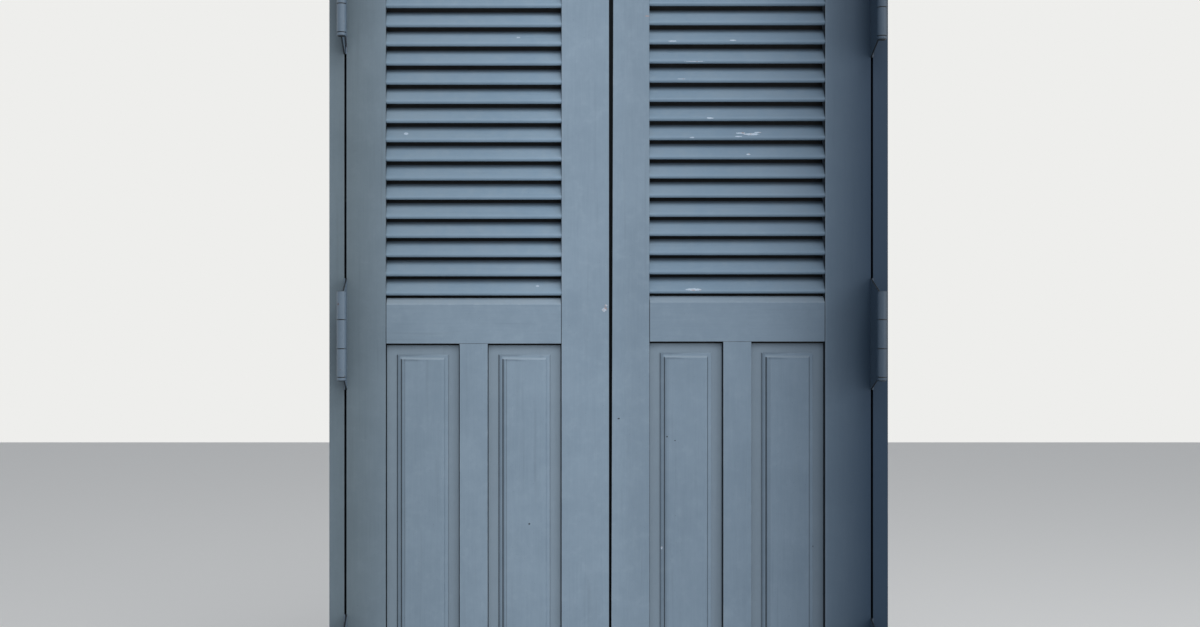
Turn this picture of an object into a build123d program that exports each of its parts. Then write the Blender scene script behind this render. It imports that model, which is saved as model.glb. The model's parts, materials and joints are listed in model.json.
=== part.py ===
from build123d import *
from collections import namedtuple
from math import cos, radians, sin, tan
import os

os.makedirs("parts", exist_ok=True)

# A pair of painted louvred shutters hung in its own rebated frame, on projecting hinges
# that carry the open leaves clear of a deep stone reveal. Each leaf has a louvred upper
# part over a lock rail and two raised-and-fielded panels beside a middle muntin. Inside,
# both leaves shut against a post in the middle of the frame and have a bolt up and down.
# +X is to the right and +Y inwards, so the outside faces -Y. +Z is up. The origin is the
# middle of the sill's underside. All sizes are in millimetres.

# Leaves
leaf_height = 1810
leaf_thick = 38
opening_width = 349.6       # clear width between a leaf's stiles
left_hinge_stile = 78.4
left_meeting_stile = 95
right_hinge_stile = 91
right_meeting_stile = 76.9
side_gap = 4                # between a leaf's hinge edge and its jamb
slit_bottom = 3             # between the two leaves, outside, at the foot
slit_top = 8.5              # and at the head, where the right leaf was planed back
closing_bevel = 5.5         # what each meeting edge is planed back by on the inside
meeting_round = 1.5         # worn outer arris of the left leaf's meeting edge
bottom_gap = 5              # under the left leaf, which hangs lower
right_leaf_lift = 4
top_gap = 6                 # over the right leaf
joint_play = 1              # spare depth in mortises, grooves and housings

# Rails, muntin and joints, with heights from the foot of the leaf
bottom_rail_high = 118
lock_rail_low = 887
lock_rail_high = 978
lock_rail_weathering = 12.5  # chamfer that sheds water off the top of the lock rail
lock_rail_upstand = 12      # lip along the inside of its top, which keeps rain and light out
upstand_thick = 14
muntin_width = 56
tenon_thick = 12
tenon_length = 50
tenon_haunch = 35           # end shoulder of the top and bottom rails' tenons
muntin_tenon = 20

# Slats
slat_count = 19
slat_pitch = 38.2
slat_thick = 9.5
slat_back = 3               # slats' inner ends, in from the leaf's inside face
slat_slope = 52             # degrees from level, outer edge down
slat_nose = 4.6             # radius of both arrises of the outer edge
slat_setback = 1            # outer edge behind the face of the stiles
slat_housing = 8            # depth of the slots that the slats' ends stand in
slat_end_play = 0.5
first_slat_gap = 5          # from the lock rail up to the lowest slat
last_slat_gap = 1.5         # from the highest slat up to the top rail

# Raised panels
groove_depth = 10
panel_setback = 11          # flat border behind the face of the stiles
panel_edge = 10             # thickness of the border
panel_tongue = 6            # thickness of what enters the grooves
side_seam = 1.2             # open joint between the border and the stiles and muntin
end_seam = 3.5              # and between the border and the rails
border_width = 23
quirk_rise = 2.5            # small step where the moulding starts
cove_width = 8
cove_rise = 1.2
cove_radius = 14
fillet_rise = 2.2
bevel_width = 6.5
field_rise = 7.5            # field in front of the border

# Frame
frame_depth = 70
jamb_thick = 30
head_thick = 30
sill_thick = 40
sill_fall = 4               # slope of the sill towards the outside
stop_lap = 14               # how far the stop reaches in behind the leaves
stop_play = 1
frame_tenon_length = 18
frame_tenon_thick = 20
post_width = 36             # middle post behind the two meeting stiles
post_tenon = 15
fixing_count = 4
fixing_spacing = 560
fixing_radius = 5
fixing_sink_radius = 9.5

# Projecting hinges
middle_hinge_height = 951   # above the underside of the sill
left_hinge_rise = 668
left_hinge_drop = 669
right_hinge_rise = 661
right_hinge_drop = 677
hinge_projection = 70       # from the leaves' outside face to the pin's centre
knuckle_radius = 9
knuckle_length = 55.5
knuckle_gap = 0.8
pin_radius = 5
pin_play = 0.08
pin_cap_length = 7
pin_cap_round = 4
pin_cap_neck = 1.2
pin_neck_radius = 6.5
wing_thick = 3
wing_gap = 1                # between the two wings of a closed hinge
wing_height = 222
wing_inset = 30             # how far the wings run in along the edge of the leaf
knuckle_clearance = 1.2     # from a wing to the other wing's knuckles
neck_flare = 69             # how much the middle knuckle's wing widens each way

# Countersunk wood screws in the hinges
screw_radius = 2.1
screw_head_radius = 4.2
screw_hole_play = 0.2
screw_sink_angle = 90       # of every screw head and its countersink
screw_length = 28
screw_point = 4
screw_high = 90             # two outer screws, above and below the hinge's middle
screw_low = 34              # two inner screws
screw_front = 9             # inner screws, in from the outside face
screw_back = 21             # outer screws, in from the outside face

# Bolts inside both leaves
bolt_inset = 42             # from the meeting edge to the bolts' centre line
bolt_radius = 6
bolt_play = 0.1
bolt_throw = 18
bolt_tip_gap = 3            # from a drawn bolt to its keeper
bolt_bevel = 1.5
top_bolt_length = 420
bottom_bolt_length = 260
plate_thick = 3
plate_width = 34
plate_start = 12            # from a bolt's tip to its plate
bolt_tail = 5               # what stays past the plate when the bolt is shot
plate_corner = 4
guide_margin = 10           # from the plate's end to the guide beside it
guide_radius = 10
guide_length = 14
guide_floor = 1             # metal between the plate and the bolt
knob_radius = 9
knob_reach = 24             # from the bolt's centre to the knob's
knob_stem = 4
knob_share = 0.7            # how far along the bolt the knob stands from its tip
keeper_thick = 2
keeper_width = 46
keeper_depth = 26
keeper_setback = 1
keeper_play = 0.8
keeper_hole_spare = 4
keeper_screw_spacing = 34
small_screw_radius = 1.7
small_screw_head = 3.4
small_screw_length = 14
small_screw_point = 3
plate_screw_spacing = 24    # across the plate
plate_screw_margin = 32     # from the plate's ends

# Places that follow from the sizes above
face_y = -frame_depth / 2
inner_y = face_y + leaf_thick
back_y = frame_depth / 2
leaf_mid_y = face_y + leaf_thick / 2
stop_y = inner_y + stop_play
left_width = left_hinge_stile + opening_width + left_meeting_stile
right_width = right_hinge_stile + opening_width + right_meeting_stile
half_opening = (left_width + right_width + slit_bottom + 2 * side_gap) / 2
head_z = sill_thick + bottom_gap + right_leaf_lift + leaf_height + top_gap
frame_top = head_z + head_thick
pin_y = face_y - hinge_projection
pin_x = half_opening - side_gap / 2
barrel_half = 1.5 * knuckle_length
panel_back_y = face_y + panel_setback + panel_edge

slat_cos = cos(radians(slat_slope))
slat_sin = sin(radians(slat_slope))
slat_half = slat_thick / 2
slat_reach = leaf_thick - slat_setback - slat_half - slat_back  # level, from the nose's centre
slat_upper = (slat_reach + slat_half * slat_sin) / slat_cos     # length of the upper side
slat_lower = (slat_reach - slat_half * slat_sin) / slat_cos
slat_rise = slat_half + slat_upper * slat_sin + slat_half * slat_cos
top_rail_low = (lock_rail_high + first_slat_gap + (slat_count - 1) * slat_pitch
                + slat_rise + last_slat_gap)

wing_sink = wing_thick + wing_gap / 2 - side_gap / 2
pilot_depth = screw_length - wing_thick + joint_play
frame_tenon_y = (face_y + stop_y) / 2
stop_mid_y = (stop_y + back_y) / 2
top_stop = head_z - stop_lap
bottom_stop = sill_thick + stop_lap

Leaf = namedtuple("Leaf", "name side hinge_stile meeting_stile base taper hinges")
left_leaf = Leaf("left", -1, left_hinge_stile, left_meeting_stile,
                 sill_thick + bottom_gap, 0,
                 {"top": middle_hinge_height + left_hinge_rise,
                  "middle": middle_hinge_height,
                  "bottom": middle_hinge_height - left_hinge_drop})
right_leaf = Leaf("right", 1, right_hinge_stile, right_meeting_stile,
                  sill_thick + bottom_gap + right_leaf_lift, slit_top - slit_bottom,
                  {"top": middle_hinge_height + right_hinge_rise,
                   "middle": middle_hinge_height,
                   "bottom": middle_hinge_height - right_hinge_drop})

Rail = namedtuple("Rail", "name low high tenon_low tenon_high")
rails = [
    Rail("bottom_rail", 0, bottom_rail_high, tenon_haunch, bottom_rail_high - groove_depth),
    Rail("lock_rail", lock_rail_low, lock_rail_high, lock_rail_low + groove_depth,
         lock_rail_high - lock_rail_weathering),
    Rail("top_rail", top_rail_low, leaf_height, top_rail_low + groove_depth,
         leaf_height - tenon_haunch),
]


def at(leaf, inward):
    """X of a line that lies inward from a leaf's hinge edge."""
    return leaf.side * (half_opening - side_gap - inward)


def width(leaf):
    return leaf.hinge_stile + opening_width + leaf.meeting_stile


def save(piece, name):
    piece.part.label = name
    export_step(piece.part, f"parts/{name}.step")


def slat_seats(leaf):
    """Where each slat's nose is, as a place and a turn in the plane across the leaf."""
    low = leaf.base + lock_rail_high + first_slat_gap + slat_half
    y = face_y + slat_setback + slat_half
    return [Location((y, low + i * slat_pitch, 0), (0, 0, slat_slope)) for i in range(slat_count)]


# A slat's section lies with its nose at the origin and its length along +X. Its inner end
# is upright once the slat stands at its slope.
with BuildSketch() as slat_section:
    with BuildLine():
        Polyline((-slat_half, -slat_half), (slat_lower, -slat_half), (slat_upper, slat_half),
                 (-slat_half, slat_half), close=True)
    make_face()
    fillet(slat_section.vertices().group_by(Axis.X)[0], slat_nose)


def screw_seats(height):
    """Depth and height of a hinge's four screws, staggered so they split no grain."""
    return [(face_y + screw_back, height + screw_high), (face_y + screw_front, height + screw_low),
            (face_y + screw_front, height - screw_low), (face_y + screw_back, height - screw_high)]


bolt_y = inner_y + plate_thick + guide_floor + bolt_radius
keeper_y = stop_y + keeper_setback + keeper_depth / 2
post_x = (at(left_leaf, width(left_leaf)) + at(right_leaf, width(right_leaf))) / 2

# A bolt's tip is at height tip while it is drawn; reach is 1 for a bolt that shoots
# upwards and -1 for one that shoots down, into the stop whose face is at height stop.
Bolt = namedtuple("Bolt", "place tip reach length stop")
bolts = [Bolt("top", top_stop - keeper_thick - bolt_tip_gap, 1, top_bolt_length, top_stop),
         Bolt("bottom", bottom_stop + keeper_thick + bolt_tip_gap, -1, bottom_bolt_length,
              bottom_stop)]


def bolt_x(leaf):
    return at(leaf, width(leaf) - bolt_inset)


def keeper_seats(leaf):
    return [(bolt_x(leaf) - keeper_screw_spacing / 2, keeper_y),
            (bolt_x(leaf) + keeper_screw_spacing / 2, keeper_y)]


def bolt_plate_ends(bolt):
    """Where a bolt's plate starts and stops, measured back from the bolt's tip."""
    return plate_start, bolt.length - bolt_throw - bolt_tail


def plate_screw_seats(leaf, bolt):
    first, last = bolt_plate_ends(bolt)
    return [(bolt_x(leaf) + side * plate_screw_spacing / 2, bolt.tip - bolt.reach * back)
            for back in (first + plate_screw_margin, last - plate_screw_margin)
            for side in (-1, 1)]


def inside_edge_cuts(leaf):
    """Outlines cut into the inside edge of both stiles, each with its depth."""
    with BuildSketch() as mortises:
        for rail in rails:
            with Locations((leaf_mid_y, leaf.base + (rail.tenon_low + rail.tenon_high) / 2)):
                Rectangle(tenon_thick, rail.tenon_high - rail.tenon_low)
    with BuildSketch() as panel_groove:
        with Locations((panel_back_y - panel_tongue / 2,
                        leaf.base + (bottom_rail_high + lock_rail_low) / 2)):
            Rectangle(panel_tongue, lock_rail_low - bottom_rail_high + 2 * groove_depth)
    with BuildSketch() as slat_housings:
        with Locations(*slat_seats(leaf)):
            add(slat_section.sketch)
    return [(mortises.sketch, tenon_length + joint_play), (panel_groove.sketch, groove_depth),
            (slat_housings.sketch, slat_housing)]


def hinge_edge_cuts(leaf):
    """Outlines cut for the hinges into a stile and its jamb, each with its start and depth."""
    with BuildSketch() as recesses:
        for height in leaf.hinges.values():
            with Locations((face_y, height)):
                Rectangle(2 * wing_inset, wing_height)
    with BuildSketch() as pilot_holes:
        for height in leaf.hinges.values():
            with Locations(*screw_seats(height)):
                Circle(screw_radius)
    return [(recesses.sketch, 0, wing_sink), (pilot_holes.sketch, wing_sink, pilot_depth)]


def make_hinge_stile(leaf):
    edge = at(leaf, 0)
    inside = at(leaf, leaf.hinge_stile)
    with BuildPart() as stile:
        with BuildSketch(Plane.XY.offset(leaf.base)):
            with Locations(((edge + inside) / 2, leaf_mid_y)):
                Rectangle(leaf.hinge_stile, leaf_thick)
        extrude(amount=leaf_height)
        for outline, depth in inside_edge_cuts(leaf):
            with BuildSketch(Plane.YZ.offset(inside)):
                add(outline)
            extrude(amount=leaf.side * depth, mode=Mode.SUBTRACT)
        for outline, start, depth in hinge_edge_cuts(leaf):
            with BuildSketch(Plane.YZ.offset(edge - leaf.side * start)):
                add(outline)
            extrude(amount=-leaf.side * depth, mode=Mode.SUBTRACT)
    save(stile, f"{leaf.name}_hinge_stile")


def make_meeting_stile(leaf):
    inside = at(leaf, leaf.hinge_stile + opening_width)
    edge = at(leaf, width(leaf))
    with BuildPart() as stile:
        with BuildSketch(Plane.XY.offset(leaf.base)):
            with Locations(((edge + inside) / 2, leaf_mid_y)):
                Rectangle(leaf.meeting_stile, leaf_thick)
        extrude(amount=leaf_height)
        closing_plane = Plane(origin=(edge, face_y, leaf.base),
                              z_dir=(-leaf.side, closing_bevel / leaf_thick, leaf.taper / leaf_height))
        split(bisect_by=closing_plane, keep=Keep.BOTTOM)
        for outline, depth in inside_edge_cuts(leaf):
            with BuildSketch(Plane.YZ.offset(inside)):
                add(outline)
            extrude(amount=-leaf.side * depth, mode=Mode.SUBTRACT)
        with BuildSketch(Plane.XZ.offset(-inner_y)):
            for bolt in bolts:
                with Locations(*plate_screw_seats(leaf, bolt)):
                    Circle(small_screw_radius)
        extrude(amount=small_screw_length - plate_thick + joint_play, mode=Mode.SUBTRACT)
        if leaf is left_leaf:
            outer_arris = stile.edges().filter_by(Axis.Z).group_by(Axis.Y)[0].sort_by(Axis.X)[-1]
            fillet(outer_arris, meeting_round)
    save(stile, f"{leaf.name}_meeting_stile")


def make_rail(leaf, rail):
    middle = at(leaf, leaf.hinge_stile + opening_width / 2)
    with BuildPart() as body:
        with BuildSketch(Plane.YZ.offset(middle)):
            with Locations((leaf_mid_y, leaf.base + (rail.low + rail.high) / 2)):
                Rectangle(leaf_thick, rail.high - rail.low)
        extrude(amount=opening_width / 2, both=True)
        if rail.name == "lock_rail":
            outer_arris = body.edges().filter_by(Axis.X).group_by(Axis.Z)[-1].sort_by(Axis.Y)[0]
            chamfer(outer_arris, lock_rail_weathering)
            with BuildSketch(Plane.YZ.offset(middle)):
                with Locations((inner_y, leaf.base + rail.high)):
                    Rectangle(upstand_thick, lock_rail_upstand, align=(Align.MAX, Align.MIN))
            extrude(amount=opening_width / 2, both=True)
        with BuildSketch(Plane.YZ.offset(middle)):
            with Locations((leaf_mid_y, leaf.base + (rail.tenon_low + rail.tenon_high) / 2)):
                Rectangle(tenon_thick, rail.tenon_high - rail.tenon_low)
        extrude(amount=opening_width / 2 + tenon_length, both=True)
        if rail.name != "top_rail":
            panel_side = rail.high if rail.name == "bottom_rail" else rail.low
            with BuildSketch(Plane.XY.offset(leaf.base + panel_side)):
                with Locations((middle, panel_back_y - panel_tongue / 2)):
                    Rectangle(opening_width, panel_tongue)
            extrude(amount=groove_depth, both=True, mode=Mode.SUBTRACT)
            with BuildSketch(Plane.XY.offset(leaf.base + panel_side)):
                with Locations((middle, leaf_mid_y)):
                    Rectangle(muntin_width, tenon_thick)
            extrude(amount=muntin_tenon + joint_play, both=True, mode=Mode.SUBTRACT)
    save(body, f"{leaf.name}_{rail.name}")


def make_muntin(leaf):
    middle = at(leaf, leaf.hinge_stile + opening_width / 2)
    low = leaf.base + bottom_rail_high
    high = leaf.base + lock_rail_low
    with BuildPart() as muntin:
        with BuildSketch(Plane.XY.offset(low)):
            with Locations((middle, leaf_mid_y)):
                Rectangle(muntin_width, leaf_thick)
        extrude(amount=high - low)
        with BuildSketch(Plane.XY.offset(low - muntin_tenon)):
            with Locations((middle, leaf_mid_y)):
                Rectangle(muntin_width, tenon_thick)
        extrude(amount=high - low + 2 * muntin_tenon)
        with BuildSketch(Plane.XY.offset(low - muntin_tenon)):
            with Locations((middle - muntin_width / 2, panel_back_y - panel_tongue / 2),
                           (middle + muntin_width / 2, panel_back_y - panel_tongue / 2)):
                Rectangle(2 * groove_depth, panel_tongue)
        extrude(amount=high - low + 2 * muntin_tenon, mode=Mode.SUBTRACT)
    save(muntin, f"{leaf.name}_muntin")


def moulded_section(length, seam):
    """Section right through a raised panel, drawn from its flat back."""
    edge = length / 2
    opening_edge = edge - (groove_depth - joint_play)
    shoulder = opening_edge - seam
    border = opening_edge - border_width
    cove = border - cove_width
    field = cove - bevel_width
    quirk = panel_edge + quirk_rise
    with BuildSketch() as section:
        with BuildLine():
            Polyline((0, 0), (edge, 0), (edge, panel_tongue), (shoulder, panel_tongue),
                     (shoulder, panel_edge), (border, panel_edge), (border, quirk))
            RadiusArc((border, quirk), (cove, quirk + cove_rise), -cove_radius)
            Polyline((cove, quirk + cove_rise), (cove, quirk + cove_rise + fillet_rise),
                     (field, panel_edge + field_rise), (0, panel_edge + field_rise))
            mirror(about=Plane.YZ)
        make_face()
    return section.sketch


def make_panel(leaf, name, inward):
    """A panel whose visible opening starts inward from the leaf's hinge edge."""
    opening = (opening_width - muntin_width) / 2
    across = opening + 2 * (groove_depth - joint_play)
    low = leaf.base + bottom_rail_high - groove_depth + joint_play
    high = leaf.base + lock_rail_low + groove_depth - joint_play
    middle = at(leaf, inward + opening / 2)
    with BuildPart() as panel:
        upright = Plane(origin=(middle, panel_back_y, high), x_dir=(1, 0, 0), z_dir=(0, 0, -1))
        with BuildSketch(upright):
            add(moulded_section(across, side_seam))
        extrude(amount=high - low)
        lengthwise = Plane(origin=(middle, panel_back_y, (low + high) / 2), x_dir=(0, 0, 1),
                           z_dir=(1, 0, 0))
        with BuildSketch(lengthwise):
            add(moulded_section(high - low, end_seam))
        extrude(amount=across, both=True, mode=Mode.INTERSECT)
    save(panel, f"{leaf.name}_{name}_panel")


def make_slats(leaf):
    middle = at(leaf, leaf.hinge_stile + opening_width / 2)
    with BuildPart() as slats:
        with BuildSketch(Plane.YZ.offset(middle)):
            with Locations(*slat_seats(leaf)):
                add(slat_section.sketch)
        extrude(amount=opening_width / 2 + slat_housing - slat_end_play, both=True)
    save(slats, f"{leaf.name}_slats")


def fixing_heights():
    """Heights of the holes that fix each jamb to the masonry, between and beyond the hinges."""
    first = frame_top / 2 - (fixing_count - 1) * fixing_spacing / 2
    return [first + i * fixing_spacing for i in range(fixing_count)]


def rebated_section(thick, reach):
    """Section of a frame member: its full depth outside, and the stop behind the leaf."""
    with BuildSketch() as section:
        with BuildLine():
            Polyline((0, face_y), (thick, face_y), (thick, stop_y), (thick + reach, stop_y),
                     (thick + reach, back_y), (0, back_y), close=True)
        make_face()
    return section.sketch


def make_jamb(leaf):
    """A jamb stands the frame's full height, with the head and the sill tenoned into it."""
    outside = leaf.side * (half_opening + jamb_thick)
    edge = leaf.side * half_opening
    with BuildPart() as jamb:
        foot = Plane(origin=(outside, 0, 0), x_dir=(-leaf.side, 0, 0), z_dir=(0, 0, -leaf.side))
        with BuildSketch(foot):
            add(rebated_section(jamb_thick, stop_lap))
        extrude(amount=-leaf.side * frame_top)
        for middle, thick in ((sill_thick / 2, sill_thick), (head_z + head_thick / 2, head_thick)):
            with BuildSketch(Plane.YZ.offset(edge)):
                with Locations((frame_tenon_y, middle)):
                    Rectangle(frame_tenon_thick, thick / 2)
            extrude(amount=leaf.side * (frame_tenon_length + joint_play), mode=Mode.SUBTRACT)
        for seat in fixing_heights():
            with Locations(Plane(origin=(edge, leaf_mid_y, seat), z_dir=(-leaf.side, 0, 0))):
                CounterSinkHole(fixing_radius, fixing_sink_radius, jamb_thick,
                                counter_sink_angle=screw_sink_angle)
        for outline, start, depth in hinge_edge_cuts(leaf):
            with BuildSketch(Plane.YZ.offset(edge + leaf.side * start)):
                add(outline)
            extrude(amount=leaf.side * depth, mode=Mode.SUBTRACT)
    save(jamb, f"frame_{leaf.name}_jamb")


def make_crosspiece(name, front, back, middle, thick, stop_face, inward):
    """The head or the sill: outlines in front and behind, tenons, post mortise and bolt holes."""
    with BuildPart() as member:
        with BuildSketch(Plane.YZ):
            with BuildLine():
                Polyline(*front, close=True)
            make_face()
        extrude(amount=half_opening, both=True)
        with BuildSketch(Plane.YZ):
            with BuildLine():
                Polyline(*back, close=True)
            make_face()
        extrude(amount=half_opening - stop_lap, both=True)
        with BuildSketch(Plane.YZ):
            with Locations((frame_tenon_y, middle)):
                Rectangle(frame_tenon_thick, thick / 2)
        extrude(amount=half_opening + frame_tenon_length, both=True)
        with BuildSketch(Plane.XY.offset(stop_face)):
            with Locations((post_x, stop_mid_y)):
                Rectangle(post_width, frame_tenon_thick)
        extrude(amount=inward * (post_tenon + joint_play), mode=Mode.SUBTRACT)
        with BuildSketch(Plane.XY.offset(stop_face)):
            with Locations((bolt_x(left_leaf), bolt_y), (bolt_x(right_leaf), bolt_y)):
                Circle(bolt_radius + keeper_play)
        extrude(amount=inward * (bolt_throw + keeper_hole_spare), mode=Mode.SUBTRACT)
        with BuildSketch(Plane.XY.offset(stop_face)):
            with Locations(*keeper_seats(left_leaf), *keeper_seats(right_leaf)):
                Circle(small_screw_radius)
        extrude(amount=inward * small_screw_length, mode=Mode.SUBTRACT)
    save(member, name)


def make_head():
    front = [(face_y, head_z), (stop_y, head_z), (stop_y, frame_top), (face_y, frame_top)]
    back = [(stop_y, top_stop), (back_y, top_stop), (back_y, frame_top), (stop_y, frame_top)]
    make_crosspiece("frame_head", front, back, head_z + head_thick / 2, head_thick, top_stop, 1)


def make_sill():
    front = [(face_y, 0), (stop_y, 0), (stop_y, sill_thick), (face_y, sill_thick - sill_fall)]
    back = [(stop_y, 0), (back_y, 0), (back_y, bottom_stop), (stop_y, bottom_stop)]
    make_crosspiece("frame_sill", front, back, sill_thick / 2, sill_thick, bottom_stop, -1)


def make_middle_post():
    """Both leaves shut against the post, which closes the slit between them from inside."""
    with BuildPart() as post:
        with BuildSketch(Plane.XY.offset(bottom_stop)):
            with Locations((post_x, stop_mid_y)):
                Rectangle(post_width, back_y - stop_y)
        extrude(amount=top_stop - bottom_stop)
        with BuildSketch(Plane.XY.offset(bottom_stop - post_tenon)):
            with Locations((post_x, stop_mid_y)):
                Rectangle(post_width, frame_tenon_thick)
        extrude(amount=top_stop - bottom_stop + 2 * post_tenon)
    save(post, "frame_middle_post")


def outer_knuckle_wing(height):
    """Outline of the wing that carries the two outer knuckles, cut back round the middle one."""
    gap = knuckle_length / 2 + knuckle_gap
    half = wing_height / 2
    clear = pin_y + knuckle_radius + knuckle_clearance
    upper = [(pin_y, gap), (pin_y, barrel_half), (clear, barrel_half), (face_y, half),
             (face_y + wing_inset, half)]
    lower = [(y, -z) for y, z in reversed(upper)]
    notch = [(clear, -gap), (clear, gap)]
    return [(y, height + z) for y, z in upper + lower + notch]


def middle_knuckle_wing(height):
    """Outline of the wing that carries the middle knuckle and flares to the leaf's face."""
    neck = knuckle_length / 2
    half = wing_height / 2
    clear = pin_y + knuckle_radius + knuckle_clearance
    upper = [(pin_y, neck), (clear, neck), (face_y, neck + neck_flare), (face_y, half),
             (face_y + wing_inset, half)]
    lower = [(y, -z) for y, z in reversed(upper)]
    return [(y, height + z) for y, z in upper + lower]


def make_wing(leaf, height, toward_leaf, outer_knuckles, name):
    """One wing of a hinge with its knuckles; toward_leaf is 1 for the leaf's, -1 for the frame's."""
    axis_x = leaf.side * pin_x
    into_wood = -leaf.side * toward_leaf
    gap_face = axis_x + into_wood * wing_gap / 2
    if outer_knuckles:
        outline = outer_knuckle_wing(height)
        spans = [(height + knuckle_length / 2 + knuckle_gap, height + barrel_half),
                 (height - barrel_half, height - knuckle_length / 2 - knuckle_gap)]
    else:
        outline = middle_knuckle_wing(height)
        spans = [(height - knuckle_length / 2, height + knuckle_length / 2)]
    with BuildPart() as wing:
        with BuildSketch(Plane.YZ.offset(gap_face)):
            with BuildLine():
                Polyline(*outline, close=True)
            make_face()
        extrude(amount=into_wood * wing_thick)
        for low, high in spans:
            with BuildSketch(Plane.XY.offset(low)):
                with Locations((axis_x, pin_y)):
                    Circle(knuckle_radius)
            extrude(amount=high - low)
        with BuildSketch(Plane.XY.offset(height - barrel_half)):
            with Locations((axis_x, pin_y)):
                Circle(pin_radius + pin_play)
        extrude(amount=2 * barrel_half, mode=Mode.SUBTRACT)
        for y, z in screw_seats(height):
            with Locations(Plane(origin=(gap_face, y, z), z_dir=(-into_wood, 0, 0))):
                CounterSinkHole(screw_radius + screw_hole_play, screw_head_radius, wing_thick,
                                counter_sink_angle=screw_sink_angle)
    save(wing, name)


def make_pin(leaf, height, name):
    """A pin flush with the top of its barrel and with a round cap under it."""
    foot = -barrel_half - pin_cap_neck
    end = foot - pin_cap_length
    with BuildPart() as pin:
        with BuildSketch(Plane(origin=(leaf.side * pin_x, pin_y, height), x_dir=(1, 0, 0),
                               z_dir=(0, -1, 0))):
            with BuildLine():
                Polyline((0, end), (0, barrel_half), (pin_radius, barrel_half),
                         (pin_radius, -barrel_half), (pin_neck_radius, -barrel_half),
                         (pin_neck_radius, foot), (knuckle_radius, foot),
                         (knuckle_radius, end), close=True)
            make_face()
        revolve(axis=Axis((leaf.side * pin_x, pin_y, height), (0, 0, 1)))
        fillet(pin.edges().group_by(Axis.Z)[0], pin_cap_round)
    save(pin, name)


def wood_screw(radius, head_radius, length, point):
    """A countersunk screw hanging from the origin, with its head's face at the top."""
    head_height = (head_radius - radius) / tan(radians(screw_sink_angle / 2))
    with BuildPart() as screw:
        with BuildSketch(Plane.XZ):
            with BuildLine():
                Polyline((0, 0), (head_radius, 0), (radius, -head_height),
                         (radius, point - length), (0, -length), close=True)
            make_face()
        revolve(axis=Axis.Z)
    return screw.part


hinge_screw = wood_screw(screw_radius, screw_head_radius, screw_length, screw_point)
small_screw = wood_screw(small_screw_radius, small_screw_head, small_screw_length,
                         small_screw_point)


def make_hinge_screws(leaf, toward_leaf, name):
    into_wood = -leaf.side * toward_leaf
    gap_face = leaf.side * pin_x + into_wood * wing_gap / 2
    seats = [Plane(origin=(gap_face, y, z), z_dir=(-into_wood, 0, 0))
             for height in leaf.hinges.values() for y, z in screw_seats(height)]
    with BuildPart() as screws:
        with Locations(*seats):
            add(hinge_screw)
    save(screws, name)


def make_hinges(leaf):
    """Three hinges; the left leaf's top one was fitted with its outer knuckles on the frame."""
    for place, height in leaf.hinges.items():
        leaf_has_outer = not (leaf.name == "left" and place == "top")
        base = f"{leaf.name}_{place}_hinge"
        make_wing(leaf, height, 1, leaf_has_outer, f"{base}_leaf_wing")
        make_wing(leaf, height, -1, not leaf_has_outer, f"{base}_frame_wing")
        make_pin(leaf, height, f"{base}_pin")
    make_hinge_screws(leaf, 1, f"{leaf.name}_leaf_hinge_screws")
    make_hinge_screws(leaf, -1, f"{leaf.name}_frame_hinge_screws")


def make_bolt_plate(leaf, bolt):
    """A plate on the leaf's inside with three guides that the bolt slides through."""
    first, last = bolt_plate_ends(bolt)
    low, high = sorted((bolt.tip - bolt.reach * first, bolt.tip - bolt.reach * last))
    middle = bolt_x(leaf)
    plate_face = inner_y + plate_thick
    with BuildPart() as plate:
        with BuildSketch(Plane(origin=(middle, plate_face, (low + high) / 2), x_dir=(1, 0, 0),
                               z_dir=(0, -1, 0))):
            RectangleRounded(plate_width, high - low, plate_corner)
        extrude(amount=plate_thick)
        for back in (first + guide_margin + guide_length / 2, (first + last) / 2,
                     last - guide_margin - guide_length / 2):
            with BuildSketch(Plane.XY.offset(bolt.tip - bolt.reach * back)):
                with Locations((middle, bolt_y)):
                    Circle(guide_radius)
                with Locations((middle, (plate_face + bolt_y) / 2)):
                    Rectangle(2 * guide_radius, bolt_y - plate_face)
            extrude(amount=guide_length / 2, both=True)
        with BuildSketch(Plane.XY.offset(low)):
            with Locations((middle, bolt_y)):
                Circle(bolt_radius + bolt_play)
        extrude(amount=high - low, mode=Mode.SUBTRACT)
        for x, z in plate_screw_seats(leaf, bolt):
            with Locations(Plane(origin=(x, plate_face, z), z_dir=(0, 1, 0))):
                CounterSinkHole(small_screw_radius + screw_hole_play, small_screw_head,
                                plate_thick, counter_sink_angle=screw_sink_angle)
    save(plate, f"{leaf.name}_{bolt.place}_bolt_plate")


def make_bolt_rod(leaf, bolt):
    """The bolt itself, drawn, with its knob standing out of its side into the room."""
    middle = bolt_x(leaf)
    knob_z = bolt.tip - bolt.reach * knob_share * bolt.length
    ball_start = knob_reach - (knob_radius ** 2 - knob_stem ** 2) ** 0.5
    with BuildPart() as rod:
        with BuildSketch(Plane.XY.offset(min(bolt.tip, bolt.tip - bolt.reach * bolt.length))):
            with Locations((middle, bolt_y)):
                Circle(bolt_radius)
        extrude(amount=bolt.length)
        ends = rod.edges().filter_by(GeomType.CIRCLE).sort_by(Axis.Z)
        chamfer(ends[-1] if bolt.reach > 0 else ends[0], bolt_bevel)
        with BuildSketch(Plane(origin=(middle, bolt_y, knob_z), x_dir=(0, 1, 0), z_dir=(1, 0, 0))):
            with BuildLine():
                Polyline((knob_reach + knob_radius, 0), (0, 0), (0, knob_stem),
                         (ball_start, knob_stem))
                ThreePointArc((ball_start, knob_stem), (knob_reach, knob_radius),
                              (knob_reach + knob_radius, 0))
            make_face()
        revolve(axis=Axis((middle, bolt_y, knob_z), (0, 1, 0)))
    save(rod, f"{leaf.name}_{bolt.place}_bolt_rod")


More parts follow.
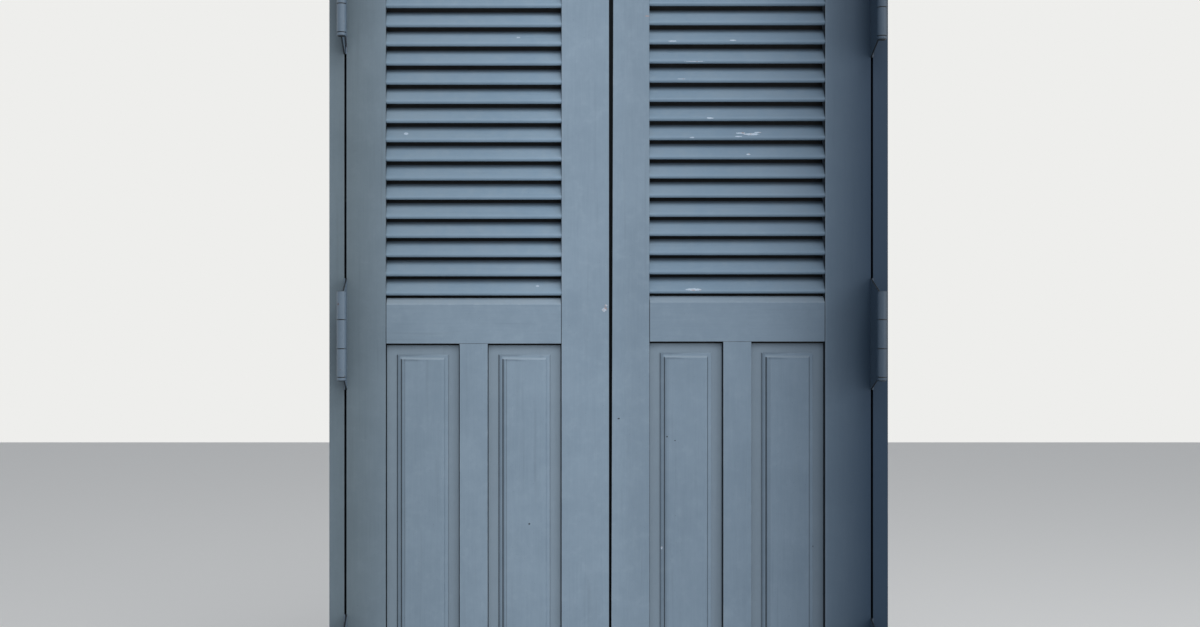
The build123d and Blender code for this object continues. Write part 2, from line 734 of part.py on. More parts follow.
def make_keeper(leaf, bolt):
    """A plate on the stop with a hole for the bolt."""
    with BuildPart() as keeper:
        with BuildSketch(Plane.XY.offset(bolt.stop)):
            with Locations((bolt_x(leaf), keeper_y)):
                Rectangle(keeper_width, keeper_depth)
            with Locations((bolt_x(leaf), bolt_y)):
                Circle(bolt_radius + keeper_play, mode=Mode.SUBTRACT)
        extrude(amount=-bolt.reach * keeper_thick)
        for x, y in keeper_seats(leaf):
            with Locations(Plane(origin=(x, y, bolt.stop - bolt.reach * keeper_thick),
                                 z_dir=(0, 0, -bolt.reach))):
                CounterSinkHole(small_screw_radius + screw_hole_play, small_screw_head,
                                keeper_thick, counter_sink_angle=screw_sink_angle)
    save(keeper, f"{leaf.name}_{bolt.place}_bolt_keeper")


def make_plate_screws(leaf):
    seats = [Plane(origin=(x, inner_y + plate_thick, z), z_dir=(0, 1, 0))
             for bolt in bolts for x, z in plate_screw_seats(leaf, bolt)]
    with BuildPart() as screws:
        with Locations(*seats):
            add(small_screw)
    save(screws, f"{leaf.name}_bolt_plate_screws")


def make_keeper_screws():
    seats = [Plane(origin=(x, y, bolt.stop - bolt.reach * keeper_thick), z_dir=(0, 0, -bolt.reach))
             for bolt in bolts for leaf in (left_leaf, right_leaf) for x, y in keeper_seats(leaf)]
    with BuildPart() as screws:
        with Locations(*seats):
            add(small_screw)
    save(screws, "keeper_screws")


for leaf in (left_leaf, right_leaf):
    make_jamb(leaf)
    make_hinge_stile(leaf)
    make_meeting_stile(leaf)
    for rail in rails:
        make_rail(leaf, rail)
    make_muntin(leaf)
    make_panel(leaf, "outer", leaf.hinge_stile)
    make_panel(leaf, "inner", leaf.hinge_stile + (opening_width + muntin_width) / 2)
    make_slats(leaf)
    make_hinges(leaf)
    for bolt in bolts:
        make_bolt_plate(leaf, bolt)
        make_bolt_rod(leaf, bolt)
        make_keeper(leaf, bolt)
    make_plate_screws(leaf)
make_keeper_screws()
make_head()
make_sill()
make_middle_post()
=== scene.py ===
import json
import math
from collections import namedtuple

import bmesh
import bpy
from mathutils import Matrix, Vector

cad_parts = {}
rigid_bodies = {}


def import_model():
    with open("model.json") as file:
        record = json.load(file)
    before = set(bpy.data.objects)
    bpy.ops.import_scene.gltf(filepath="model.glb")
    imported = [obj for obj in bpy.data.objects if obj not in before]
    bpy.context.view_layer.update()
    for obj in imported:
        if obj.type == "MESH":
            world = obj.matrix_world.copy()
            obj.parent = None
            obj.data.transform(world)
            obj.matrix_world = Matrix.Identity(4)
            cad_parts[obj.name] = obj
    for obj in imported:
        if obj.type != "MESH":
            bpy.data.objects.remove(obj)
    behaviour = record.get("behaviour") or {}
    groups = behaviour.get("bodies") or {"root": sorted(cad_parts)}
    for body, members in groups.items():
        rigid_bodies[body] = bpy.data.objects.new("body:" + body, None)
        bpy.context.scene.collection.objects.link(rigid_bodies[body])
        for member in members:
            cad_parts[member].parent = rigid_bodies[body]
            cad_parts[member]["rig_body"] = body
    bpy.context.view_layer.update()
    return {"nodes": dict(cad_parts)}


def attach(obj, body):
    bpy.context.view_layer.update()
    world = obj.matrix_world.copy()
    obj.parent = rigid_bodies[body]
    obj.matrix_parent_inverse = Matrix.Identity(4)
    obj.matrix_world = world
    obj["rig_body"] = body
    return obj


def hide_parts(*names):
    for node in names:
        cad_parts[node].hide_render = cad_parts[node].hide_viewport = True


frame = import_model()

# Places on the pieces, in metres.
panel_border = -0.024       # y of the flat border round each panel
slit_middle = 0.0045        # x of the slit between the leaves
leaves_middle = -0.0063     # x halfway between the middles of the leaves' openings
leaf_middle = 0.26225       # from there to the middle of either leaf's opening
left_hinges = (0.282, 0.951, 1.619)     # z of each hinge's middle
right_hinges = (0.274, 0.951, 1.612)

# How wear and old paint leave the edges, in metres.
arris_wood = 0.0009         # how far the painted edges of the boards are rounded
arris_slat = 0.0004
arris_panel = 0.0004
arris_steel = 0.0005
recess_panel = 0.0015       # how far old paint fills the corners of the panels' mouldings
shortest_arris = 0.003      # shorter edges stay as they are
weld = 0.00001              # points nearer than this are one point

# Angles between two faces.
flat_join = math.radians(0.6)       # flatter joins are taken out
sharp_edge = math.radians(30)       # sharper edges are rounded
sharp_corner = math.radians(40)     # sharper inside corners are filled
shading_break = math.radians(34)    # sharper edges break the shading

# Where each mask starts and where it is full, in metres. The outside is towards smaller y.
slat_shade = (-0.0212, -0.0130)     # y on a slat's upper side under the next slat, where shade is painted
slat_darkest = (-0.0150, -0.0122)     # y where that painted shade is darkest
slat_back = (-0.0035, -0.0015)      # y of a slat's inner edge, which has no painted shade
rail_top_shade = (-0.0225, -0.0195)     # y on a lock rail's top behind its weathering, where shade is painted
rail_lip = (-0.0105, -0.0095)       # y of the lip that stands on it, which has no painted shade
rail_top = (1.019, 1.023)           # z of that top
shoulder_crack = (0.1733, 0.1740)   # from the middle of a leaf's opening to its rails' shoulders
panel_joint = (panel_border - 0.0002, panel_border + 0.0006)    # y of the joints round a panel, where shade is painted
panel_back = (-0.0165, -0.0155)     # y behind which a panel has no painted shade
panel_front = (0.0225, 0.0235)      # how far forward of y = 0 a panel's painted light starts
border_light = (-0.0262, -0.0245)   # y of the painted light on a panel's border
fillet_front = (0.0262, 0.0272)     # how far forward of y = 0 the fillets' painted shadows start
gap_depth = (-0.030, -0.016)        # y through the gaps round the leaves
slit_shade = (0.0065, 0.0085)       # from the slit's middle to the end of the painted shade behind it
barrel_front = (0.096, 0.098)       # how far forward of y = 0 the knuckles start
right_side = (0, 0.02)              # x where the right leaf starts
hinge_change = (-0.01, 0.01)        # x between the left hinges and the right
shade_change = (-0.1, 0.1)          # x over which the damp and painted shade change their tint

# Lines of painted shadow and painted light, placed in metres: where each starts and ends, and how
# soft its sides are.
foot_line = (-0.0018, 0.0004)       # from a fillet's left side to the painted shadow along its foot
bevel_line = (0.0058, 0.0072)       # from there to the painted shadow at the inner end of its bevel
right_line = (-0.0003, 0.0014)      # from its right side to the painted shadow there
top_line = (-0.0008, 0.0022)        # from its top to the painted light along it
knuckle_gap = (0.02715, 0.02915)    # from a hinge's middle to the painted shade in the gaps of its middle knuckle
cap_neck = (0.0827, 0.0845)         # from there to the painted shade at the neck of its cap
line_softness = 0.0003

# How squarely a face looks in a direction: where each mask starts and where it is full.
squarely = (0.75, 0.95)
mostly = (0.5, 0.8)
endways = (0.4, 0.8)
dustily = (0.35, 0.9)
partly = (0.2, 0.5)
slantwise = (0.10, 0.35)
slopingly = (0.05, 0.2)
sideways = (0.04, 0.16)
lightly = (0.02, 0.10)
barely = (0, 0.2)

# How much of the paint the dirt and the painted shade hide in each place, from 0 to 1.
slat_shade_share = 0.6
slat_darkest_share = 0.4       # on top of the shade's
rail_dirt_and_shade = 0.9
muntin_dirt = 0.6
panel_joint_shade = 0.97
recess_shade = 0.92
recess_shade_right = 0.35    # on the sides that face right
recess_less = 0.55          # how much less of it is on the right leaf
slit_painted_shade = 0.95
gap_shade = 0.93
gap_less = 0.5              # how much less of it is deep in the gaps
hinge_shade = 0.93
speck_dirt = 0.8

# How much painted light and painted shade show.
border_light_share = 0.35
slope_light_share = 0.6
weathering_light_share = 0.4
slat_sky_tint_share = 0.2
moulding_shade_share = 0.22

# The photo's scale at the leaves' outer faces: a pixel's size, the column that x is nought at
# and the row that the floor is at.
pixel = 0.002
middle_column = 608.75
floor_row = 809.4

# Camera: level, in front of the left leaf's lock rail.
camera_place = (-0.2235, -2.755, 0.957)
camera_lens = 41.02
camera_shift = (0.0864, 0.0146)
camera_sensor = 36

# Studio. Each soft box has its name, its side, its watts and where it stands.
soft_boxes = (("high_box", 3.0, 160, (0.5, -4.0, 5.2)), ("right_box", 3.6, 86, (4.8, -3.0, 2.4)))
soft_box_aim = (0, 0, 1.0)
sky_strength = 0.42
backdrop_strength = 1.0
floor_half = 9              # from the middle of the floor to its sides


def paint(red, green, blue):
    """A paint colour from a 0 to 255 swatch, as the linear value that a shader takes."""
    swatch = [value / 255 for value in (red, green, blue)]
    return (*[v / 12.92 if v <= 0.04045 else ((v + 0.055) / 1.055) ** 2.4 for v in swatch], 1.0)


Parts = namedtuple("Parts", "x y z")        # of a vector, each a Wire


class Wire:
    """An output socket, on which sums can be written."""

    def __init__(self, tree, socket):
        self.tree, self.socket = tree, socket

    def __add__(self, other):
        return self.tree.maths("ADD", self, other)

    def __radd__(self, other):
        return self.tree.maths("ADD", other, self)

    def __sub__(self, other):
        return self.tree.maths("SUBTRACT", self, other)

    def __rsub__(self, other):
        return self.tree.maths("SUBTRACT", other, self)

    def __mul__(self, other):
        return self.tree.maths("MULTIPLY", self, other)

    def __rmul__(self, other):
        return self.tree.maths("MULTIPLY", other, self)

    def __neg__(self):
        return self.tree.maths("SUBTRACT", 0, self)

    def __abs__(self):
        return self.tree.maths("ABSOLUTE", self)

    def below(self, other):
        """The lower of the two."""
        return self.tree.maths("MINIMUM", self, other)

    def above(self, other):
        """The higher of the two."""
        return self.tree.maths("MAXIMUM", self, other)


class Sockets:
    """A node's outputs by name or number, each as a Wire."""

    def __init__(self, tree, made):
        self.tree, self.made = tree, made

    def __getitem__(self, name):
        return Wire(self.tree, self.made.outputs[name])


class Tree:
    """A node tree that is being laid out, of a material or of the world."""

    def __init__(self, owner):
        owner.use_nodes = True
        self.owner, self.tree = owner, owner.node_tree
        self.tree.nodes.clear()

    def node(self, kind, settings=None, inputs=None):
        """Makes any kind of node. Its settings come first, then each input's value or link."""
        made = self.tree.nodes.new(kind)
        for name, value in (settings or {}).items():
            setattr(made, name, value)
        for name, value in (inputs or {}).items():
            if isinstance(value, Wire):
                self.tree.links.new(value.socket, made.inputs[name])
            else:
                made.inputs[name].default_value = value
        return Sockets(self, made)

    def maths(self, operation, *values):
        """What a Math node makes of the values."""
        settings = {"operation": operation}
        return self.node("ShaderNodeMath", settings, dict(enumerate(values)))["Value"]

    def vector(self, operation, *values):
        """What a Vector Math node makes of them, in its Vector and its Value."""
        settings = {"operation": operation}
        return self.node("ShaderNodeVectorMath", settings, dict(enumerate(values)))

    def parts(self, vector):
        """The x, y and z of a vector."""
        parted = self.node("ShaderNodeSeparateXYZ", {}, {0: vector})
        return Parts(parted["X"], parted["Y"], parted["Z"])

    def blend(self, share, under, over):
        """The colour over laid on the colour under, by share. Its sockets go by number, because
        those for colours have the same names as those for numbers."""
        settings = {"data_type": "RGBA", "clamp_factor": True}
        return self.node("ShaderNodeMix", settings, {0: share, 6: under, 7: over})[2]

    def step(self, value, low, high):
        """0 where value is under low, 1 where it is over high, and smooth between them."""
        settings = {"interpolation_type": "SMOOTHSTEP"}
        inputs = {"Value": value, "From Min": low, "From Max": high}
        return self.node("ShaderNodeMapRange", settings, inputs)["Result"]

    def shares(self, value, stops):
        """Goes straight from each (value, share) stop to the next."""
        total = stops[0][1]
        for (low, low_share), (high, high_share) in zip(stops, stops[1:]):
            inputs = {"Value": value, "From Min": low, "From Max": high,
                      "To Max": high_share - low_share}
            total = self.node("ShaderNodeMapRange", {}, inputs)["Result"] + total
        return total

    def line(self, value, low, high, edge=0):
        """1 from low to high, both counted from the edge, with soft sides."""
        low, high, soft = edge + low, edge + high, line_softness
        return self.step(value, low - soft, low + soft) - self.step(value, high - soft, high + soft)

    def cloud(self, place, scale, detail=4.0, roughness=0.55, stretch=(1, 1, 1)):
        """Noise from 0 to 1. stretch multiplies the place first, so a small number draws it out."""
        drawn = self.vector("MULTIPLY", place, stretch)["Vector"]
        inputs = {"Vector": drawn, "Scale": scale, "Detail": detail, "Roughness": roughness}
        return self.node("ShaderNodeTexNoise", {}, inputs)["Fac"]

    def marked(self, name):
        """The shares that bevelled() has left in an attribute."""
        return self.node("ShaderNodeAttribute", {"attribute_name": name})["Fac"]

    def bump(self, relief, strength, distance):
        """The normals of a surface with this relief."""
        inputs = {"Strength": strength, "Distance": distance, "Height": relief}
        return self.node("ShaderNodeBump", {}, inputs)["Normal"]

    def coat(self, inputs):
        """Ends a material with a surface of these inputs, and gives the material."""
        surface = self.node("ShaderNodeBsdfPrincipled", {}, inputs)["BSDF"]
        self.node("ShaderNodeOutputMaterial", {}, {"Surface": surface})
        return self.owner


# How much the grain is drawn out along the board.
grain_ways = {"upright": (1, 1, 0.04), "level": (0.04, 1, 1)}

faded_blue = paint(130, 149, 166)
deep_blue = paint(121, 140, 157)
# Chalky paint, and painted light on the slopes that face up.
chalky_and_lit_blue = paint(158, 175, 189)
# The sky's blue, painted on the slats as light.
sky_tint_blue = paint(122, 162, 192)
shade_grey = paint(54, 61, 50)
shade_blue = paint(18, 42, 63)
# The dark of dirt, and of painted shade.
soot_and_shade = paint(4, 8, 12)
grime = paint(52, 58, 62)
primer = paint(170, 186, 202)
bare_wood = paint(160, 140, 136)
rust = paint(112, 72, 48)
road_dust = paint(150, 150, 144)
pale_floor = paint(240, 240, 238)
sky_white = paint(244, 248, 255)
backdrop_white = paint(238, 238, 236)

# How far damp and painted shade darken the paint: places across the shutters, and the share at
# each. The hinge stiles' paint is darker from damp, and painted shade deepens towards the
# outer edges, most of all across the right leaf.
damp_and_shade_across = ((-0.555, 0.47), (-0.520, 0.55), (-0.445, 0.35), (-0.440, 0.14), (-0.30, 0.07),
               (-0.12, 0.0), (0.0, 0.0), (0.05, 0.11), (0.20, 0.18), (0.30, 0.30), (0.36, 0.43),
               (0.430, 0.60), (0.435, 0.715), (0.520, 0.97))

# Where each panel's fillet stands up: its left and right x, its lower and upper z, and how dark
# the painted shadow along its foot is at the left, at the inner end of the bevel and at the right.
fillets = ((-0.41235, -0.32755, 0.194, 0.901, 0.92, 0.40, 0.0),
           (-0.20955, -0.12475, 0.194, 0.901, 0.92, 0.40, 0.0),
           (0.11215, 0.19695, 0.198, 0.905, 0.65, 0.15, 0.55),
           (0.31495, 0.39975, 0.198, 0.905, 0.80, 0.25, 0.60))

# Chips in the paint, each a column and a row of the photo and half its width and height there.
slat_chips = ((672.5, 42.4, 4.5, 0.7), (732, 41.5, 3.5, 0.7), (694, 62.6, 9, 0.4),
              (681, 80, 5, 0.35), (709.5, 119, 3.8, 0.9), (692, 138.3, 2.5, 0.7),
              (741, 133.6, 5.5, 0.8), (751, 134.8, 8, 1.2), (757.5, 132.8, 4, 0.7),
              (738, 137.2, 3.5, 0.6), (748, 155, 2, 1.1), (694, 289.6, 8, 1.3),
              (519, 38, 2, 0.9), (407, 134, 2.4, 1.4), (538, 286, 2, 0.9))
stile_chips = ((604.5, 309.5, 2.6, 2.2), (606, 305.5, 1.4, 1.2), (647.5, 17.6, 2.6, 0.5))
panel_chips = ((662, 547, 0.9, 1.8),)
stile_specks = ((618.5, 418, 1.3, 0.8), (652, 452, 0.8, 0.8), (650, 512, 0.8, 0.8))
panel_specks = ((667, 436, 0.8, 0.8), (813, 546, 0.8, 0.9), (530, 523, 0.9, 0.9),
                (675, 440, 0.6, 0.6))


# The masks of dirt and of painted shade. Each takes where a point is and how it faces, and
# gives the share of darkening there.

def between_slats(tree, at, facing):
    """Painted shade on the upper side of a slat, deep under the next one."""
    shaded = tree.step(at.y, *slat_shade) * slat_shade_share
    shaded = shaded + tree.step(at.y, *slat_darkest) * slat_darkest_share
    return shaded * tree.step(-facing.y, *partly) * (1 - tree.step(at.y, *slat_back))


def rail_seams_and_shade(tree, at, facing):
    """The shoulders of a rail, where the joints have cracked the paint, and painted shade on its
    underside.
    """
    off = abs(abs(at.x - leaves_middle) - leaf_middle)
    cracks = tree.step(off, *shoulder_crack) * rail_dirt_and_shade
    return cracks.above(tree.step(-facing.z, *squarely) * rail_dirt_and_shade)


def lock_rail_seams_and_shade(tree, at, facing):
    """A lock rail's seams, and painted shade on its top behind the weathering."""
    deep = tree.step(at.y, *rail_top_shade) * (1 - tree.step(at.y, *rail_lip))
    return (deep * tree.step(at.z, *rail_top)).above(rail_seams_and_shade(tree, at, facing))


def closing_edges(tree, at, facing):
    """Painted shade on the narrow edges of the stiles and jambs, as in their gaps, darkest near
    the outside."""
    depth = gap_shade - tree.step(at.y, *gap_depth) * gap_less
    return tree.step(abs(facing.x), *mostly) * depth


def muntin_seams_and_shade(tree, at, facing):
    """The shoulders of a muntin, and painted shade on its sides."""
    cracks = tree.marked("arris") * tree.step(abs(facing.z), *slantwise) * muntin_dirt
    return closing_edges(tree, at, facing).above(cracks)


def panel_seams_and_shade(tree, at, facing):
    """Painted shade in the open joints round a panel and in the inside corners of its moulding, and
    painted shadows along its fillets.
    """
    recess = tree.marked("recess") * (1 - tree.step(at.x, *right_side) * recess_less)
    joint = tree.step(at.y, *panel_joint) * (1 - tree.step(at.y, *panel_back))
    dirt_and_shade = (joint * panel_joint_shade).above(recess)
    for left, right, low, high, left_share, bevel_share, right_share in fillets:
        shadow_lines = tree.line(at.x, *foot_line, left) * left_share
        shadow_lines = shadow_lines + tree.line(at.x, *bevel_line, left) * bevel_share
        shadow_lines = shadow_lines + tree.line(at.x, *right_line, right) * right_share
        shadow_lines = shadow_lines * tree.line(at.z, low, high) * tree.step(-at.y, *fillet_front)
        dirt_and_shade = dirt_and_shade.above(shadow_lines)
    return dirt_and_shade


def behind_slit(tree, at, facing):
    """Painted shade on the strip of the middle post that stands behind the slit."""
    outward = tree.step(-facing.y, *mostly) * slit_painted_shade
    return outward * (1 - tree.step(abs(at.x - slit_middle), *slit_shade))


def nearest_of(value, heights):
    """How far value is from the nearest of the three heights."""
    low, middle, high = [abs(value - height) for height in heights]
    return low.below(middle).below(high)


def between_knuckles(tree, at, facing):
    """Painted shade in the gaps between the knuckles, at the neck of the cap and on the upper and
    lower edges of the wings."""
    right = tree.step(at.x, *hinge_change)
    off = nearest_of(at.z, left_hinges) * (1 - right) + nearest_of(at.z, right_hinges) * right
    gaps = tree.line(off, *knuckle_gap).above(tree.line(off, *cap_neck))
    gaps = gaps * tree.step(-at.y, *barrel_front)
    return gaps.above(tree.step(abs(facing.z), *endways)) * hinge_shade


# The tints, which paint light and shade. Each takes a colour as well, and gives it back with
# more of another.

def slats_sky_tint(tree, colour, at, facing):
    """Painted light: the slats take more of the sky's blue than the boards."""
    return tree.blend(slat_sky_tint_share, colour, sky_tint_blue)


def weathering_highlight(tree, colour, at, facing):
    """Painted light on the slopes of a lock rail that face up."""
    painted_light = tree.step(facing.z, *lightly) * weathering_light_share
    return tree.blend(painted_light, colour, chalky_and_lit_blue)


def moulding_light_and_shade(tree, colour, at, facing):
    """Painted light on a panel's border and on the slopes that face up, most of all where the
    fillet stands along the top. Painted shade makes the sides that face left bluer."""
    painted_light = tree.step(at.y, *border_light) * border_light_share
    painted_light = painted_light.above(tree.step(facing.z, *slopingly) * slope_light_share)
    for left, right, _, high, *_ in fillets:
        painted_light = painted_light.above(tree.line(at.z, *top_line, high) * tree.line(at.x, left, right))
    colour = tree.blend(painted_light * tree.step(-at.y, *panel_front), colour, chalky_and_lit_blue)
    shaded = tree.step(-facing.x, *sideways) * moulding_shade_share
    return tree.blend(shaded, colour, shade_blue)


def chips(tree, place, facing, spots):
    """1 inside each chip of a list, ragged at its edge, on the sides that face outside."""
    ragged = tree.cloud(place, scale=260, detail=3) * 1.5 - 0.75
    nearest = None
    for column, row, half_width, half_height in spots:
        centre = ((column - middle_column) * pixel, 0, (floor_row - row) * pixel)
        scale = (1 / (half_width * pixel), 0, 1 / (half_height * pixel))
        centred = tree.vector("SUBTRACT", place, centre)["Vector"]
        scaled = tree.vector("MULTIPLY", centred, scale)["Vector"]
        off = tree.vector("LENGTH", scaled)["Value"]
        nearest = off if nearest is None else nearest.below(off)
    return (1 - tree.step(nearest + ragged, 0.85, 1.0)) * tree.step(-facing.y, *barely)


def painted_wood(name, way, dirt_and_shade=None, tint=None, spots=(), specks=(), wood_bared=-0.08):
    """Brushed oil paint on a board whose grain runs upright or level, chipped at the spots and
    dotted with dirt at the specks. More of the chips' wood is bare where wood_bared is more."""
    tree = Tree(bpy.data.materials.new(name))
    seat = tree.node("ShaderNodeTexCoord")
    place = seat["Object"]
    at, facing = tree.parts(place), tree.parts(seat["Normal"])
    upward = tree.parts(tree.node("ShaderNodeNewGeometry")["Normal"]).z
    grain = tree.cloud(place, scale=330, detail=5, roughness=0.6, stretch=grain_ways[way])
    coarse = tree.cloud(place, scale=90, detail=3, roughness=0.5, stretch=grain_ways[way])
    fine = tree.cloud(place, scale=900, detail=2)
    patches = tree.cloud(place, scale=7, detail=4, roughness=0.6)
    mottle = tree.cloud(place, scale=45, detail=5, roughness=0.65)
    dots = tree.cloud(place, scale=520, detail=1, roughness=0.4)

    faded = tree.step(patches + mottle * 0.4, 0.45, 0.95)
    brushed = (grain - 0.4) * 0.3
    bleached = tree.step(mottle, 0.5, 0.8) * 0.12
    grimy = tree.step(coarse, 0.56, 0.85) * 0.16
    dusty = tree.step(upward, *dustily) * tree.step(mottle + patches, 0.75, 1.3)
    rubbed = tree.marked("arris") * tree.step(patches * 0.6 + mottle * 0.6, 0.56, 0.72)
    dotted = tree.step(dots, 0.775, 0.81)
    colour = tree.blend(faded, deep_blue, faded_blue)
    for share, over in ((brushed, chalky_and_lit_blue), (bleached, chalky_and_lit_blue), (grimy, grime),
                        (dusty * 0.35, road_dust), (rubbed * 0.6, chalky_and_lit_blue),
                        (dotted * 0.6, grime)):
        colour = tree.blend(share, colour, over)

    # The tint paints light and shade.
    if tint:
        colour = tint(tree, colour, at, facing)
    # Damp and painted shade darken the paint across the shutters.
    shade = tree.blend(tree.step(at.x, *shade_change), shade_grey, shade_blue)
    colour = tree.blend(tree.shares(at.x, damp_and_shade_across), colour, shade)
    relief = grain * 0.5 + coarse * 0.6 + fine * 0.25
    if spots:
        bare = chips(tree, place, facing, spots)
        to_wood = tree.step(tree.cloud(place, scale=160, detail=2) + wood_bared, 0.5, 0.62)
        colour = tree.blend(bare, colour, tree.blend(to_wood, primer, bare_wood))
        relief = relief - bare * 2.0
    if specks:
        colour = tree.blend(chips(tree, place, facing, specks) * speck_dirt, colour, soot_and_shade)
    # Dirt and painted shade, by the mask.
    if dirt_and_shade:
        colour = tree.blend(dirt_and_shade(tree, at, facing), colour, soot_and_shade)
    return tree.coat({"Base Color": colour, "Normal": tree.bump(relief, 0.3, 0.0004),
                      "Roughness": 0.48 + mottle * 0.2 + dusty * 0.2,
                      "Specular IOR Level": 0.3})


def painted_steel(name):
    """Thick paint on forged steel, with rust starting where it is knocked."""
    tree = Tree(bpy.data.materials.new(name))
    seat = tree.node("ShaderNodeTexCoord")
    place = seat["Object"]
    at, facing = tree.parts(place), tree.parts(seat["Normal"])
    lumps = tree.cloud(place, scale=140, detail=4, roughness=0.6)
    pitting = tree.cloud(place, scale=620, detail=3, roughness=0.6)
    patches = tree.cloud(place, scale=18, detail=4, roughness=0.6)

    faded = tree.step(patches, 0.35, 0.7)
    chalked = tree.step(lumps, 0.52, 0.8) * 0.35
    knocked = tree.step(lumps + patches * 0.5 + tree.marked("arris") * 0.16, 0.93, 1.02)
    colour = tree.blend(faded, deep_blue, faded_blue)
    for share, over in ((chalked, chalky_and_lit_blue), (knocked * 0.85, rust),
                        # Painted shade across the hinges, deepest at the right, then painted shade
                        # between the knuckles.
                        (tree.shares(at.x, damp_and_shade_across) * 0.9, shade_blue),
                        (between_knuckles(tree, at, facing), soot_and_shade)):
        colour = tree.blend(share, colour, over)
    relief = lumps * 0.8 + pitting * 0.35 - knocked * 0.5
    return tree.coat({"Base Color": colour, "Normal": tree.bump(relief, 0.4, 0.0005),
                      "Roughness": 0.38 + pitting * 0.2 + knocked * 0.3})


def put_in_scene(name, data):
    """A new object with this data, at the origin."""
    thing = bpy.data.objects.new(name, data)
    bpy.context.scene.collection.objects.link(thing)
    return thing


def made_piece(name, mesh):
    """The finished mesh as an object in the scene."""
    data = bpy.data.meshes.new(name)
    mesh.to_mesh(data)
    mesh.free()
    return put_in_scene(name, data)


def hollow_corners(mesh):
    """The inside corners at the foot of a moulding, which old paint fills and where shade is
    painted.
    """
    deepest = panel_border - 0.001
    return [edge for edge in mesh.edges
            if len(edge.link_faces) == 2 and not edge.is_convex
            and min(point.co.y for point in edge.verts) > deepest
            and edge.calc_face_angle(0) > sharp_corner and edge.calc_length() > shortest_arris]


def arrises(mesh):
    """The sharp outer edges that are long enough to be rounded."""
    return [edge for edge in mesh.edges
            if len(edge.link_faces) == 2 and edge.is_convex
            and edge.calc_face_angle(0) > sharp_edge and edge.calc_length() > shortest_arris]


def worn_share(face):
    """Every rounded edge is worn alike."""
    return 1.0


def corner_shade_share(face):
    """Painted shade in the inside corners: none in those that face up, and less in those that face
    right."""
    turned = 0.3
    if face.normal.z > turned:
        return 0.0
    return recess_shade_right if face.normal.x > turned else recess_shade


def bevelled(mesh, edges, width, mark, share_of):
    """Bevels the edges, and keeps each new face's share in the attribute mark."""
    made = bmesh.ops.bevel(mesh, geom=edges, offset=width, offset_type="OFFSET", segments=2,
                           profile=0.5, affect="EDGES", clamp_overlap=False, material=-1)
    mesh.normal_update()
    for face in made["faces"]:
        for corner in face.loops:
            corner[mark] = share_of(face)


def eased(name, arris, material, recess=0):
    """Stands for a CAD node as wear leaves it: the same solid with its sharp edges rounded, and
    its inside corners filled by recess with old paint."""
    solid = frame["nodes"][name]
    mesh = bmesh.new()
    mesh.from_mesh(solid.data)
    bmesh.ops.remove_doubles(mesh, verts=mesh.verts, dist=weld)
    bmesh.ops.dissolve_limit(mesh, angle_limit=flat_join, use_dissolve_boundaries=False,
                             verts=mesh.verts, edges=mesh.edges, delimit=set())
    worn, corner_shade = mesh.loops.layers.float.new("arris"), mesh.loops.layers.float.new("recess")
    if recess:
        # The filled corners keep their share of painted shade in the attribute recess.
        bevelled(mesh, hollow_corners(mesh), recess, corner_shade, corner_shade_share)
    bevelled(mesh, arrises(mesh), arris, worn, worn_share)
    for face in mesh.faces:
        face.smooth = True
    for edge in mesh.edges:
        edge.smooth = edge.calc_face_angle(math.pi) < shading_break
    piece = made_piece(name + "_eased", mesh)
    shading = piece.modifiers.new("even_shading", "WEIGHTED_NORMAL")
    shading.keep_sharp = True
    piece.data.materials.append(material)
    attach(piece, solid["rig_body"])
    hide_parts(name)


def finish_node(name, material):
    """The node keeps its CAD form and takes a material."""
    node = frame["nodes"][name]
    node.data.materials.clear()
    node.data.materials.append(material)


stile_wood = painted_wood("painted_stiles_and_jambs", "upright", closing_edges,
                          spots=stile_chips, specks=stile_specks, wood_bared=0.1)
post_wood = painted_wood("painted_middle_post", "upright", behind_slit)
muntin_wood = painted_wood("painted_muntins", "upright", muntin_seams_and_shade)
level_wood = painted_wood("painted_head_and_sill", "level")
rail_wood = painted_wood("painted_rails", "level", rail_seams_and_shade)
slat_wood = painted_wood("painted_slats", "level", between_slats, slats_sky_tint, slat_chips)
lock_rail_wood = painted_wood("painted_lock_rails", "level", lock_rail_seams_and_shade, weathering_highlight)
panel_wood = painted_wood("painted_panels", "upright", panel_seams_and_shade, moulding_light_and_shade, panel_chips,
                          panel_specks)
steel = painted_steel("painted_steel_fittings")

# The boards by the ends of their names, the first that fits: how far their edges are rounded,
# their material, and how far their inside corners are filled.
boards = (("_slats", arris_slat, slat_wood, 0),
          ("_lock_rail", arris_wood, lock_rail_wood, 0),
          ("_panel", arris_panel, panel_wood, recess_panel),
          ("_post", arris_wood, post_wood, 0),
          ("_muntin", arris_wood, muntin_wood, 0),
          ("_rail", arris_wood, rail_wood, 0),
          (("_head", "_sill"), arris_wood, level_wood, 0),
          (("_stile", "_jamb"), arris_wood, stile_wood, 0))

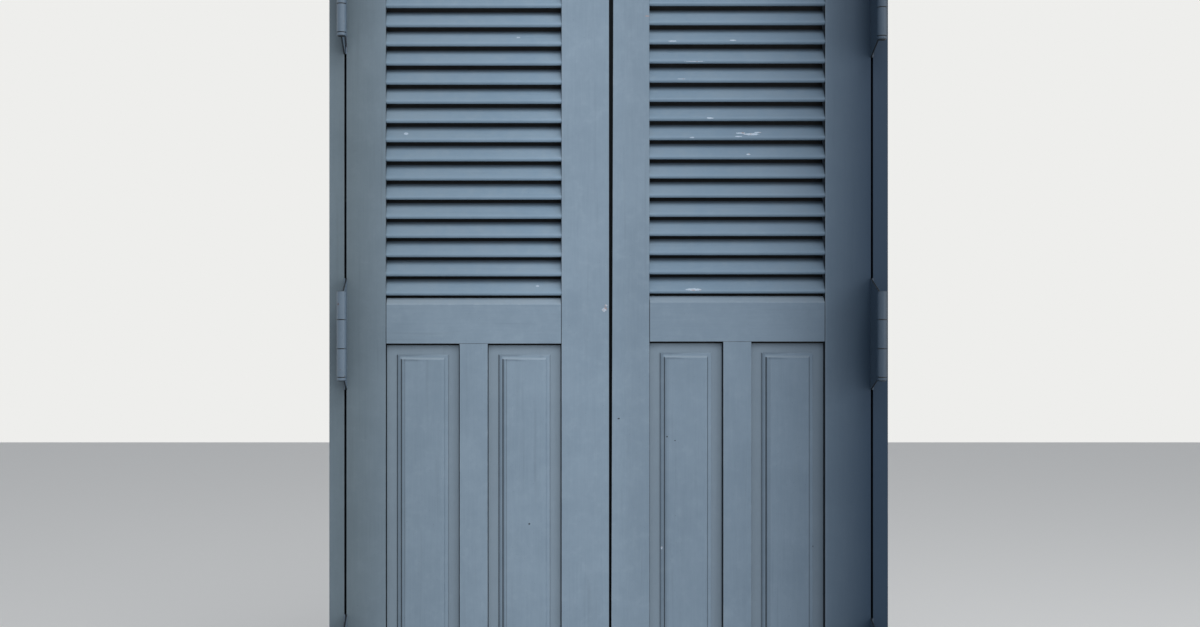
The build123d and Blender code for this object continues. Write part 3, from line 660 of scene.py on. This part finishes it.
for node_name in frame["nodes"]:
    board = next((row for row in boards if node_name.endswith(row[0])), None)
    if board:
        _, arris, wood, recess = board
        eased(node_name, arris, wood, recess)
    elif node_name.endswith("screws"):
        finish_node(node_name, steel)
    else:
        eased(node_name, arris_steel, steel)


def lay_floor():
    """A plain pale floor that the sill stands on."""
    mesh = bmesh.new()
    bmesh.ops.create_grid(mesh, x_segments=1, y_segments=1, size=floor_half)
    floor = made_piece("studio_floor", mesh)
    tree = Tree(bpy.data.materials.new("pale_floor"))
    floor.data.materials.append(tree.coat({"Base Color": pale_floor, "Roughness": 0.8}))


def light_studio():
    """A soft box high in front and a wide one at the right, in an even sky. Behind it is a pale
    backdrop that only the camera and clear or shiny surfaces see."""
    sky = Tree(bpy.data.worlds.new("studio_sky"))
    bpy.context.scene.world = sky.owner
    rays = sky.node("ShaderNodeLightPath")
    seen = rays["Is Camera Ray"] + rays["Is Glossy Ray"] + rays["Is Transmission Ray"]
    soft = sky.node("ShaderNodeBackground", {}, {"Color": sky_white, "Strength": sky_strength})
    pale = sky.node("ShaderNodeBackground", {},
                    {"Color": backdrop_white, "Strength": backdrop_strength})
    both = sky.node("ShaderNodeMixShader", {}, {0: seen.below(1), 1: soft["Background"],
                                                2: pale["Background"]})
    sky.node("ShaderNodeOutputWorld", {}, {"Surface": both["Shader"]})

    for name, side, watts, stand in soft_boxes:
        lamp = bpy.data.lights.new(name, "AREA")
        lamp.shape, lamp.size, lamp.energy = "SQUARE", side, watts
        soft_box = put_in_scene(name, lamp)
        soft_box.location = stand
        aim = Vector(soft_box_aim) - soft_box.location
        soft_box.rotation_euler = aim.to_track_quat("-Z", "Y").to_euler()


def set_camera():
    """The camera stands level in front of the left leaf and shifts its frame to the right."""
    view = bpy.data.cameras.new("camera")
    view.lens, view.sensor_width = camera_lens, camera_sensor
    view.shift_x, view.shift_y = camera_shift
    camera = put_in_scene("camera", view)
    camera.location, camera.rotation_euler = camera_place, (math.radians(90), 0, 0)
    bpy.context.scene.camera = camera


lay_floor()
light_studio()
set_camera()
bpy.context.scene.view_settings.view_transform = "Standard"
